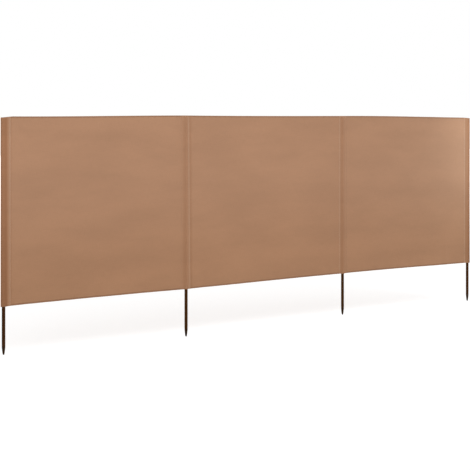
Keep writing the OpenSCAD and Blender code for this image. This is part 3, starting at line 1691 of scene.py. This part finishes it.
        # Painted shade over the pole and beside the seams, with each side's own amount.
        across = ramp(grid_x, -self.colour_turn, self.colour_turn)
        painted_shade = (1 - across) * self.left.shade_over_pole(away) + across * self.right.shade_over_pole(away)
        painted_shade = np.maximum(painted_shade, self.maker.drape.shade_beside_seams(grid_x + self.axis))
        # A painted highlight on the front face of the ridges only.
        highlight_marks = sum(side.on_ridge(sign * grid_x) for side, sign in self.sides) * (face < 0)
        numbers = shell.grid(points, uvs, wrap=True, flip=inside, shade_marks=painted_shade,
                             highlight_marks=self.ridge_highlight * highlight_marks)
        shell.lid(numbers[-1], uvs[-1], flip=inside)
        return numbers, points, uvs

    def build(self, bodies: tuple[str, ...]) -> Object:
        """Makes the sleeve: its outer skin, its lining, a rim at the opening and a closed top.

        Args:
            bodies: The body that it rides on, or the left and the right body beside it, where it rides on
                neither.

        Returns:
            The sleeve.
        """
        wall = self.maker.wall
        shell = Shell()
        z = graded(wall.bottom, wall.top, self.fine, self.step, self.border)
        outer, points, uvs = self.skin(shell, z, 0.0, inside=False)
        inner_z = np.concatenate([
            wall.bottom + np.linspace(0, self.border, 6),
            np.linspace(wall.bottom + 2 * self.border, wall.tube_top - 4 * MM, self.inner_rows),
            [wall.tube_top + 2 * MM, wall.top - 3 * MM],
        ])
        inner, _, _ = self.skin(shell, inner_z, self.lining, inside=True)
        shell.strip(inner[0], outer[0], uvs[0], wrap=True)
        piece = shell.build(f"sleeve_cloth_{self.number}", self.maker.finishes.sleeve)
        self.attach(piece, bodies)
        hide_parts(f"sleeve_{self.number}")
        way_round(points[0]).sum()
        return piece

    def attach(self, piece: Object, bodies: tuple[str, ...]) -> None:
        """Lets a piece ride on one body; given two, it bakes the piece's place into its mesh and leaves it
        on none.

        Args:
            piece: The sleeve, or something on it.
            bodies: One or two bodies.
        """
        if len(bodies) == 1:
            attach(piece, bodies[0])
        else:
            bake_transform(piece)


# ---------------------------------------------------------------- stitches


@dataclass
class StitchRow:
    """A row of stitches along a line on the cloth.

    Attributes:
        points: Places along the line, a row of X, Y and Z.
        outward: The side of the wall that the row lies on.
    """

    points: Array
    outward: Face


@dataclass
class Stitching:
    """Rows of lockstitch, each stitch a short arched run of thread.

    Attributes:
        name: The piece's name.
        rows: The rows.
        pitch: From one stitch to the next.
        length: How long each stitch shows.
        thread_r: The thread's radius.
        arch: How far a stitch rises in its middle.
        sides: How many points go round the thread.
        rings: Where its four rings of points lie, as shares of its length.
        slimness: The share of the radius that each ring has.
        sunk_from: The share of its length beyond which a stitch lies in the cloth.
    """

    name: str
    rows: list[StitchRow]
    pitch: float = 5.0 * MM
    length: float = 4.1 * MM
    thread_r: float = 0.42 * MM
    arch: float = 0.3 * MM
    sides: int = 5
    rings: Floats = (-0.5, -0.28, 0.28, 0.5)
    slimness: Floats = (0.45, 1.0, 1.0, 0.45)
    sunk_from: float = 0.42

    def spaced(self, row: StitchRow) -> tuple[Array, Array]:
        """Places stitches a pitch apart along a row's line.

        Args:
            row: The row.

        Returns:
            The middle and the direction of each stitch.
        """
        steps = np.linalg.norm(np.diff(row.points, axis=0), axis=1)
        passed = np.append(0, np.cumsum(steps))
        at = np.arange(self.pitch / 2, passed[-1], self.pitch)
        behind, middle, ahead = (
            np.stack([np.interp(at + shift, passed, line) for line in row.points.T], -1)
            for shift in (-MM, 0.0, MM)
        )
        way = ahead - behind
        return middle, way / np.linalg.norm(way, axis=1, keepdims=True)

    def build(self, material: Material) -> Object:
        """Makes all the rows as one mesh.

        A stitch is four rings of thread. The ring's place along it is a share of its length, its
        rise is a parabola that dips into the cloth at both ends, and its radius shrinks there.

        Args:
            material: The thread's finish.

        Returns:
            The joined stitches.
        """
        shell = Shell()
        share = np.array(self.rings)
        rise = self.arch * (1 - (share / self.sunk_from) ** 2)
        radius = self.thread_r * np.array(self.slimness)
        turn = np.arange(self.sides) / self.sides * TAU
        for row in self.rows:
            middle, way = self.spaced(row)
            out = np.zeros_like(way)
            out[:, 1] = row.outward.value
            side = np.cross(way, out)
            along = share[None, :, None] * self.length
            ring = (
                middle[:, None, None]
                + way[:, None, None] * along[..., None]
                + out[:, None, None] * (rise[:, None] + radius[:, None] * np.cos(turn))[None, ..., None]
                + side[:, None, None] * (radius[:, None] * np.sin(turn))[None, ..., None]
            )
            numbers = shell.add_points(ring)
            wide = np.concatenate([numbers, numbers[..., :1]], -1)
            quads = np.stack([wide[:, :-1, :-1], wide[:, :-1, 1:], wide[:, 1:, 1:], wide[:, 1:, :-1]], -1)
            shell.add_quads(quads, np.zeros((*quads.shape, 2)), flip=True)
            shell.add_caps(numbers[:, 0])
            shell.add_caps(numbers[:, -1], flip=True)
        return shell.build(self.name, material)


# ---------------------------------------------------------------- poles and spikes


def turned(profile: Array, x: float, shell: Shell, sides: int = 48) -> Array:
    """Adds a profile turned about an upright axis.

    Args:
        profile: Rows of radius and height, from the bottom outwards and up.
        x: The axis's place along X.
        shell: What the rings are added to.
        sides: How many points go round.

    Returns:
        The numbers of the rings' points.
    """
    turn = np.arange(sides + 1) / sides * TAU
    radius, height = profile[:, :1], profile[:, 1:]
    points = np.stack(
        np.broadcast_arrays(x + radius * np.cos(turn), radius * np.sin(turn), height), -1
    )
    uvs = places_on_cloth(turn[None] * radius.max(), height)
    return shell.grid(points[:, :-1], uvs, wrap=True)


def rounded(corner_r: float, radius: float, height: float, start: float, end: float,
            count: int = 5) -> Array:
    """Points of a rounded corner: an arc of corner_r about (radius, height) between two angles."""
    angles = np.radians(np.linspace(start, end, count))
    return np.stack([radius + corner_r * np.cos(angles), height + corner_r * np.sin(angles)], -1)


@dataclass
class Pole:
    """A thin steel tube with its pointed spike.

    Attributes:
        wall: The frame's sizes.
        finishes: The materials.
        number: The pole, from 1 at the left.
        body: The CAD body that it rides on.
        drop: How much lower its hidden top ends, where the cloth over it droops.
        tube_wall: The tube's thickness.
        edge: The radius of its broken edges.
        rim_h: The height of the spike's straight rim.
        tip_r: The radius of the spike's flat end and its rounding's centre.
        tip_round: The radius of that rounding.
        spigot_room: Between the spigot and the tube.
        belly: How far the taper swells.
    """

    wall: WallFrame
    finishes: Finishes
    number: int
    body: str
    drop: float = 0.0
    tube_wall: float = 1.0 * MM
    edge: float = 0.35 * MM
    rim_h: float = 4 * MM
    tip_r: float = 3.5 * MM
    tip_round: float = 2.0 * MM
    spigot_room: float = 0.1 * MM
    belly: float = 0.5 * MM

    @property
    def axis(self) -> float:
        """The pole's place along X."""
        return self.wall.pole_x[self.number - 1]

    def build_tube(self) -> Object:
        """Makes the tube: its wall's outline, with broken edges, turned about the axis.

        Returns:
            The tube.
        """
        outer, inner = self.wall.pole_r, self.wall.pole_r - self.tube_wall
        low, high = self.wall.tube_bottom[self.number - 1], self.wall.tube_top - self.drop
        edge = self.edge
        outline = np.concatenate([
            rounded(edge, outer - edge, low + edge, -90, 0),
            rounded(edge, outer - edge, high - edge, 0, 90),
            rounded(edge, inner + edge, high - edge, 90, 180, 3),
            rounded(edge, inner + edge, low + edge, 180, 270, 3),
        ])
        shell = Shell()
        rings = turned(outline, self.axis, shell)
        uvs = np.zeros((rings.shape[1] + 1, 2))
        shell.strip(rings[-1], rings[0], uvs, wrap=True)
        piece = shell.build(f"pole_tube_{self.number}", self.finishes.pole)
        return mount(piece, self.body, f"pole_{self.number}")

    def build_spike(self) -> Object:
        """Makes the spike: a flat tip, a taper that bellies by a sine, a rim, and a spigot.

        Returns:
            The spike.
        """
        low, shoulder = self.wall.tip[self.number - 1], self.wall.tube_bottom[self.number - 1]
        spike_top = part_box(f"spike_{self.number}")[1].z
        outer = self.wall.pole_r
        spigot = outer - self.tube_wall - self.spigot_room
        nose = rounded(self.tip_round, self.tip_r, low + self.tip_round, -90, -12, 6)
        share = np.linspace(0.03, 1, 14)[:, None]
        start, end = nose[-1], np.array([outer, shoulder - self.rim_h])
        taper = start + share * (end - start) + np.array([self.belly, 0]) * np.sin(math.pi * share)
        outline = np.concatenate([
            nose,
            taper,
            rounded(self.edge, outer - self.edge, shoulder - self.edge, 0, 90, 4),
            [[spigot, shoulder]],
            rounded(self.edge, spigot - self.edge, spike_top - self.edge, 0, 90, 3),
        ])
        shell = Shell()
        rings = turned(outline, self.axis, shell)
        shell.fan(rings[0], np.array([self.axis, 0, low]), flip=True)
        shell.fan(rings[-1], np.array([self.axis, 0, spike_top]))
        piece = shell.build(f"pole_spike_{self.number}", self.finishes.spike)
        return mount(piece, self.body, f"spike_{self.number}")


# ---------------------------------------------------------------- the whole windbreak


class BodyName(Enum):
    """The moving bodies, as the frame names them."""

    LEFT = "left_bay"
    MIDDLE = "middle_bay"
    RIGHT = "right_bay"


@dataclass
class Windbreak:
    """All the pieces of the windbreak.

    Attributes:
        maker: The wall, drape and finishes.
        plain_edge: How much cloth lies beyond the stitches of a plain seam.
        tuck: How far a sleeve's flat cloth runs on under its bay's.
        loose_fold: How much wider than the first sleeve's fold the last one's is.
        hem_clear: How far from a seam a hem's stitches stop.
        pressed: How much of a hem's thickness is left under its stitches.
        row_clear: How far from an edge a sleeve's rows of stitches stop.
        end_insets: From the lower hem's inner edge and from the top to a sleeve's end stitches.
        line_step: From one point to the next on a line that stitches follow.
    """

    maker: ClothMaker
    plain_edge: float = 3 * MM
    tuck: float = 1.5 * MM
    loose_fold: float = 7 * MM
    hem_clear: float = 5 * MM
    pressed: float = 0.84
    row_clear: float = 2 * MM
    end_insets: Pair = (2.2 * MM, 2.5 * MM)
    line_step: float = 2 * MM

    def build(self) -> None:
        """Makes every piece and reports it."""
        wall, finishes = self.maker.wall, self.maker.finishes
        bay_bodies = [BodyName.LEFT, BodyName.MIDDLE, BodyName.RIGHT]
        pole_bodies = [BodyName.LEFT, BodyName.MIDDLE, BodyName.MIDDLE, BodyName.RIGHT]
        bends = [
            (BodyName.LEFT.value,),
            (BodyName.LEFT.value, BodyName.MIDDLE.value),
            (BodyName.MIDDLE.value, BodyName.RIGHT.value),
            (BodyName.RIGHT.value,),
        ]
        made = []
        for number, body in enumerate(bay_bodies, 1):
            made.append(Panel(self.maker, number, body.value).build())
            made.append(Hem(self.maker, number, body.value, True).build())
            made.append(Hem(self.maker, number, body.value, False).build())
            made.append(self.hem_stitches(number, body))
        sleeves = self.sleeves()
        for sleeve, bodies in zip(sleeves, bends):
            made.append(sleeve.build(bodies))
            made.append(self.sleeve_end_stitches(sleeve, bodies))
        for number, body in enumerate(bay_bodies, 1):
            made += self.seam_stitches(number, body, sleeves)
        for number, body in enumerate(pole_bodies, 1):
            rise = self.maker.drape.lift(wall.pole_x[number - 1], wall.tube_top)
            pole = Pole(wall, finishes, number, body.value, drop=max(-float(rise), 0.0))
            made += [pole.build_tube(), pole.build_spike()]
        for piece in made:
            LOG.info("%s: %d faces", piece.name, len(piece.data.polygons))

    def sleeves(self) -> list[Sleeve]:
        """Describes the sleeves: folded outside at the ends, sewn down both sides in the middle.

        Returns:
            The four sleeves, from left to right.
        """
        wall = self.maker.wall
        # How much painted shade lies over each pole, in the double-cloth colour.
        hugs, pole_shades = (1.1, 1.3, 1.3, 1.1), (0.92, 0.25, 0.25, 0.4)
        felled = [
            SleeveSide(Closing.FELLED_SEAM, seam.start, depth, seam.ridge, self.tuck, hug, seam.lean)
            for seam, depth, hug in zip(self.maker.drape.seams, pole_shades, hugs)
        ]
        plain = SleeveSide(Closing.PLAIN_SEAM, wall.seam_reach, depth=0.25, margin=self.plain_edge, hug=1.8)
        return [
            Sleeve(self.maker, 1, SleeveSide(Closing.FOLD, wall.fold_reach, depth=0.75), felled[0]),
            Sleeve(self.maker, 2, plain, felled[1]),
            Sleeve(self.maker, 3, felled[2], plain),
            Sleeve(self.maker, 4, felled[3],
                   SleeveSide(Closing.FOLD, wall.fold_reach + self.loose_fold, depth=1.0)),
        ]

    def row_pair(self, x: Array, z: Array, proud: Callable[[Face], Array]) -> list[StitchRow]:
        """The same row on each face of the wall, as far from the middle as proud gives for the face."""
        surface = self.maker.surface
        return [StitchRow(surface(x, z, proud(face) * face.value), face) for face in Face]

    def seam_rows(self, sleeve: Sleeve, row_x: float) -> list[StitchRow]:
        """Runs an upright row up each face of the wall.

        Args:
            sleeve: The sleeve beside it.
            row_x: Its distance from the sleeve's axis.

        Returns:
            The two rows.
        """
        wall, half = self.maker.wall, self.maker.cloth_t / 2
        z = np.arange(wall.bottom + self.row_clear, wall.top - self.row_clear, self.line_step)
        x = np.full(len(z), row_x)
        return self.row_pair(x + sleeve.axis, z, lambda face: np.maximum(sleeve.proud(x, z, face), half))

    def seam_stitches(self, number: int, body: BodyName, sleeves: list[Sleeve]) -> list[Object]:
        """Makes the stitching of the seams at both sides of a bay.

        Args:
            number: The bay, from 1 at the left.
            body: The body that it rides on.
            sleeves: The four sleeves.

        Returns:
            One piece for the felled seams, and one for a plain seam where the bay has one.
        """
        rows = {Closing.FELLED_SEAM: [], Closing.PLAIN_SEAM: []}
        for sleeve, side, sign in (
            (sleeves[number - 1], sleeves[number - 1].right, 1),
            (sleeves[number], sleeves[number].left, -1),
        ):
            for row in side.rows:
                rows[side.closing] += self.seam_rows(sleeve, sign * row)
        finishes = self.maker.finishes
        threads = {Closing.FELLED_SEAM: finishes.pale_thread, Closing.PLAIN_SEAM: finishes.thread}
        made = []
        for closing, own in rows.items():
            if own:
                name = f"{closing.name.lower()}_stitches_{number}"
                piece = Stitching(name, own).build(threads[closing])
                made.append(mount(piece, body.value))
        return made

    def hem_stitches(self, number: int, body: BodyName) -> Object:
        """Makes a level row of stitches along each hem of a bay, on each face of the wall.

        Args:
            number: The bay, from 1 at the left.
            body: The body that it rides on.

        Returns:
            The four rows as one piece.
        """
        wall = self.maker.wall
        left, right = self.maker.drape.cloth_span(number, 0.0)
        x = np.arange(left + self.hem_clear, right - self.hem_clear, self.line_step)
        hem = Hem(self.maker, number, body.value, True)
        rows = []
        proud = {Face.FRONT: self.pressed * hem.front_proud, Face.BACK: self.pressed * hem.back_proud}
        inset = wall.hem_h - hem.stitch_inset
        for z in (wall.bottom + inset, wall.top - inset):
            rows += self.row_pair(x, np.full(len(x), z), proud.get)
        piece = Stitching(f"hem_stitches_{number}", rows).build(self.maker.finishes.thread)
        return mount(piece, body.value)

    def sleeve_end_stitches(self, sleeve: Sleeve, bodies: tuple[str, ...]) -> Object:
        """Makes a level row of stitches round each end of a sleeve, on each face.

        Args:
            sleeve: The sleeve.
            bodies: The body that it rides on, or the two bodies beside the sleeve, where it rides on
                neither.

        Returns:
            The four rows as one piece.
        """
        wall = self.maker.wall
        x = np.linspace(self.row_clear - sleeve.left.edge, sleeve.right.edge - self.row_clear, 60)
        rows = []
        for level in (wall.bottom + wall.hem_h - self.end_insets[0], wall.top - self.end_insets[1]):
            z = np.full(len(x), level)
            rows += self.row_pair(
                x + sleeve.axis, z, lambda face: sleeve.proud(x, z, face) * sleeve.rounded_edge(x)
            )
        piece = Stitching(f"sleeve_{sleeve.number}_end_stitches", rows).build(self.maker.finishes.thread)
        sleeve.attach(piece, bodies)
        return piece


# ---------------------------------------------------------------- studio


@dataclass(frozen=True)
class Softbox:
    """A soft rectangular lamp.

    Attributes:
        name: The lamp's name.
        place: Where it stands.
        target: What it faces.
        size: Its width and height.
        power: Its power, in watts.
        colour: Its colour, as shares of red, green and blue.
    """

    name: str
    place: Triple
    target: Triple
    size: Pair
    power: float
    colour: Triple = (1.0, 1.0, 1.0)

    def build(self) -> None:
        """Adds the lamp, turned to its target by the heading and the slope of the line to it."""
        data = bpy.data.lights.new(self.name, "AREA")
        data.shape = "RECTANGLE"
        data.size, data.size_y = self.size
        data.energy = self.power
        data.color = self.colour
        lamp = added(self.name, data)
        lamp.visible_camera = False
        lamp.location = self.place
        way = np.array(self.target) - np.array(self.place)
        level = math.hypot(way[0], way[1])
        lamp.rotation_euler = (math.pi / 2 + math.atan2(way[2], level), 0, math.atan2(-way[0], way[1]))


@dataclass
class Studio:
    """A plain white studio with soft light, and the camera.

    Attributes:
        camera_at: The camera's place.
        camera_yaw: How far it turns to the right of the +Y axis, in degrees.
        lens: Its focal length, in millimetres.
        shift_up: Its vertical shift.
        floor_size: The floor's width.
        floor_tone: How much light the floor gives back.
        floor_white: What the camera sees added to it.
        far_white: What it sees added to that far away.
        far: How far away that starts, and where it is full, in metres.
        sky_strength: How bright the light from all round is.
        side_power: The irradiance of the even light from the right.
        side_slope: How far that light leans from straight down, and turns to the right, in degrees.
        side_spread: How wide it looks from the cloth, in degrees.
        lamps: The softboxes.
    """

    camera_at: Triple = (-3.486, -6.227, 1.476)
    camera_yaw: float = 31.97
    lens: float = 78.61
    shift_up: float = -0.2366
    floor_size: float = 80.0
    floor_tone: float = 0.75
    floor_white: float = 0.41
    far_white: float = 0.3
    far: Pair = (3.0, 16.0)
    sky_strength: float = 0.845
    side_power: float = 0.12
    side_slope: Pair = (60.0, 56.0)
    side_spread: float = 25.0
    lamps: tuple[Softbox, ...] = (
        Softbox("front_lamp", (0.3, -1.8, 2.4), (0.3, 0.0, 0.9), (3.0, 1.0), 14.4),
        Softbox("left_lamp", (-1.7, -0.6, 1.5), (-1.2, 0.0, 1.2), (0.3, 0.4), 0.75),
        Softbox("right_lamp", (2.86, -0.5, 1.3), (2.64, 0.0, 1.2), (0.15, 0.7), 2.2, (0.84, 1.0, 1.12)),
    )

    def add_camera(self) -> None:
        """Makes the level camera that looks along the wall from its left end."""
        data = bpy.data.cameras.new("camera")
        data.lens = self.lens
        data.shift_y = self.shift_up
        data.clip_end = 200
        camera = added("camera", data)
        camera.location = self.camera_at
        camera.rotation_euler = (math.pi / 2, 0, -math.radians(self.camera_yaw))
        bpy.context.scene.camera = camera

    def add_side_light(self) -> None:
        """Adds a wide, even light from far off at the right."""
        data = bpy.data.lights.new("side_light", "SUN")
        data.energy = self.side_power
        data.angle = math.radians(self.side_spread)
        light = added("side_light", data)
        light.rotation_euler = (math.radians(self.side_slope[0]), 0, math.radians(self.side_slope[1]))

    def light_world(self) -> None:
        """Lights from all round, and shows plain white behind the object."""
        world = bpy.data.worlds.new("studio")
        bpy.context.scene.world = world
        world.use_nodes = True
        kit = NodeKit(world.node_tree)
        path = kit.add("ShaderNodeLightPath")
        seen = kit.maths("MAXIMUM", path.outputs["Is Camera Ray"], path.outputs["Is Glossy Ray"])
        seen = kit.maths("MAXIMUM", seen, path.outputs["Is Transmission Ray"])
        whites = [
            kit.feed(kit.add("ShaderNodeBackground"), (1, 1, 1, 1), strength)
            for strength in (self.sky_strength, 1.0)
        ]
        mix = kit.feed(kit.add("ShaderNodeMixShader"), seen, *whites)
        kit.fill(kit.add("ShaderNodeOutputWorld"), Surface=mix)

    def add_floor(self, level: float) -> None:
        """Adds a white floor that keeps a soft shadow and meets the white behind it.

        Args:
            level: The floor's height.
        """
        half = self.floor_size / 2
        mesh = bpy.data.meshes.new("floor")
        corners = np.array([(-1, -1), (1, -1), (1, 1), (-1, 1)]) * half
        corners = np.column_stack([corners, np.full(4, level)])
        mesh.from_pydata(corners.tolist(), [], [(0, 1, 2, 3)])
        floor = added("floor", mesh)
        material = bpy.data.materials.new("white_floor")
        material.use_nodes = True
        kit = NodeKit(material.node_tree)
        paint = kit.feed(kit.add("ShaderNodeBsdfDiffuse"), (*[self.floor_tone] * 3, 1))
        away = kit.add("ShaderNodeVectorMath", operation="LENGTH")
        kit.feed(away, kit.add("ShaderNodeTexCoord").outputs["Object"])
        whitest = self.floor_white + self.far_white
        white = kit.span(away.outputs["Value"], *self.far, self.floor_white, whitest)
        seen = kit.add("ShaderNodeLightPath").outputs["Is Camera Ray"]
        glow = kit.fill(kit.add("ShaderNodeEmission"), Strength=kit.maths("MULTIPLY", seen, white))
        both = kit.feed(kit.add("ShaderNodeAddShader"), paint, glow.outputs[0])
        kit.fill(kit.add("ShaderNodeOutputMaterial"), Surface=both)
        mesh.materials.append(material)

    def build(self, level: float) -> None:
        """Sets the view, the light, the floor and the camera.

        Args:
            level: The floor's height.
        """
        bpy.context.scene.view_settings.view_transform = "Standard"
        self.light_world()
        self.add_floor(level)
        self.add_side_light()
        for lamp in self.lamps:
            lamp.build()
        self.add_camera()


def hung_cloth(wall: WallFrame) -> Drape:
    """How each bay hangs: its bow, its soft folds and its seams.

    Args:
        wall: The frame's sizes.

    Returns:
        The drape.
    """
    folds = (
        (
            SoftFold((0.15, 0.38), (0.95, 0.62), 0.07, 2.4 * MM),
            SoftFold((0.2, 0.2), (0.7, 0.3), 0.06, -1.5 * MM),
        ),
        (
            SoftFold((0.1, 0.7), (0.8, 0.5), 0.08, 1.8 * MM),
            SoftFold((0.5, 0.25), (0.95, 0.15), 0.05, -1.2 * MM),
        ),
        (
            SoftFold((0.1, 0.55), (0.6, 0.5), 0.06, 2.0 * MM),
            SoftFold((0.6, 0.8), (0.98, 0.55), 0.09, -2.2 * MM),
        ),
    )
    billows = (11 * MM, 8 * MM, 7 * MM)
    bays = [Bay(left, right, billow, own) for (left, right), billow, own in zip(wall.bays, billows, folds)]
    seams = [
        # The first two seams have a strip of painted shade beside them.
        FelledSeam(1, 37.5 * MM, 0.9 * MM, 4.5 * MM, seam_shade_width=7 * MM),
        FelledSeam(1, 20 * MM, 1.2 * MM, 9 * MM, lean=4.5 * MM, seam_shade_width=16 * MM),
        FelledSeam(-1, 25 * MM, 0.6 * MM, 6 * MM),
        FelledSeam(-1, 29 * MM, 0.5 * MM, 5 * MM),
    ]
    return Drape(wall, bays, seams)


def main() -> None:
    """Builds the windbreak and the studio in order."""
    logging.basicConfig(level=logging.INFO, format="%(name)s: %(message)s")
    wall = WallFrame.measured()
    maker = ClothMaker(wall, hung_cloth(wall), Finishes.made())
    Windbreak(maker).build()
    Studio().build(min(wall.tip))


if __name__ == "__main__":
    main()
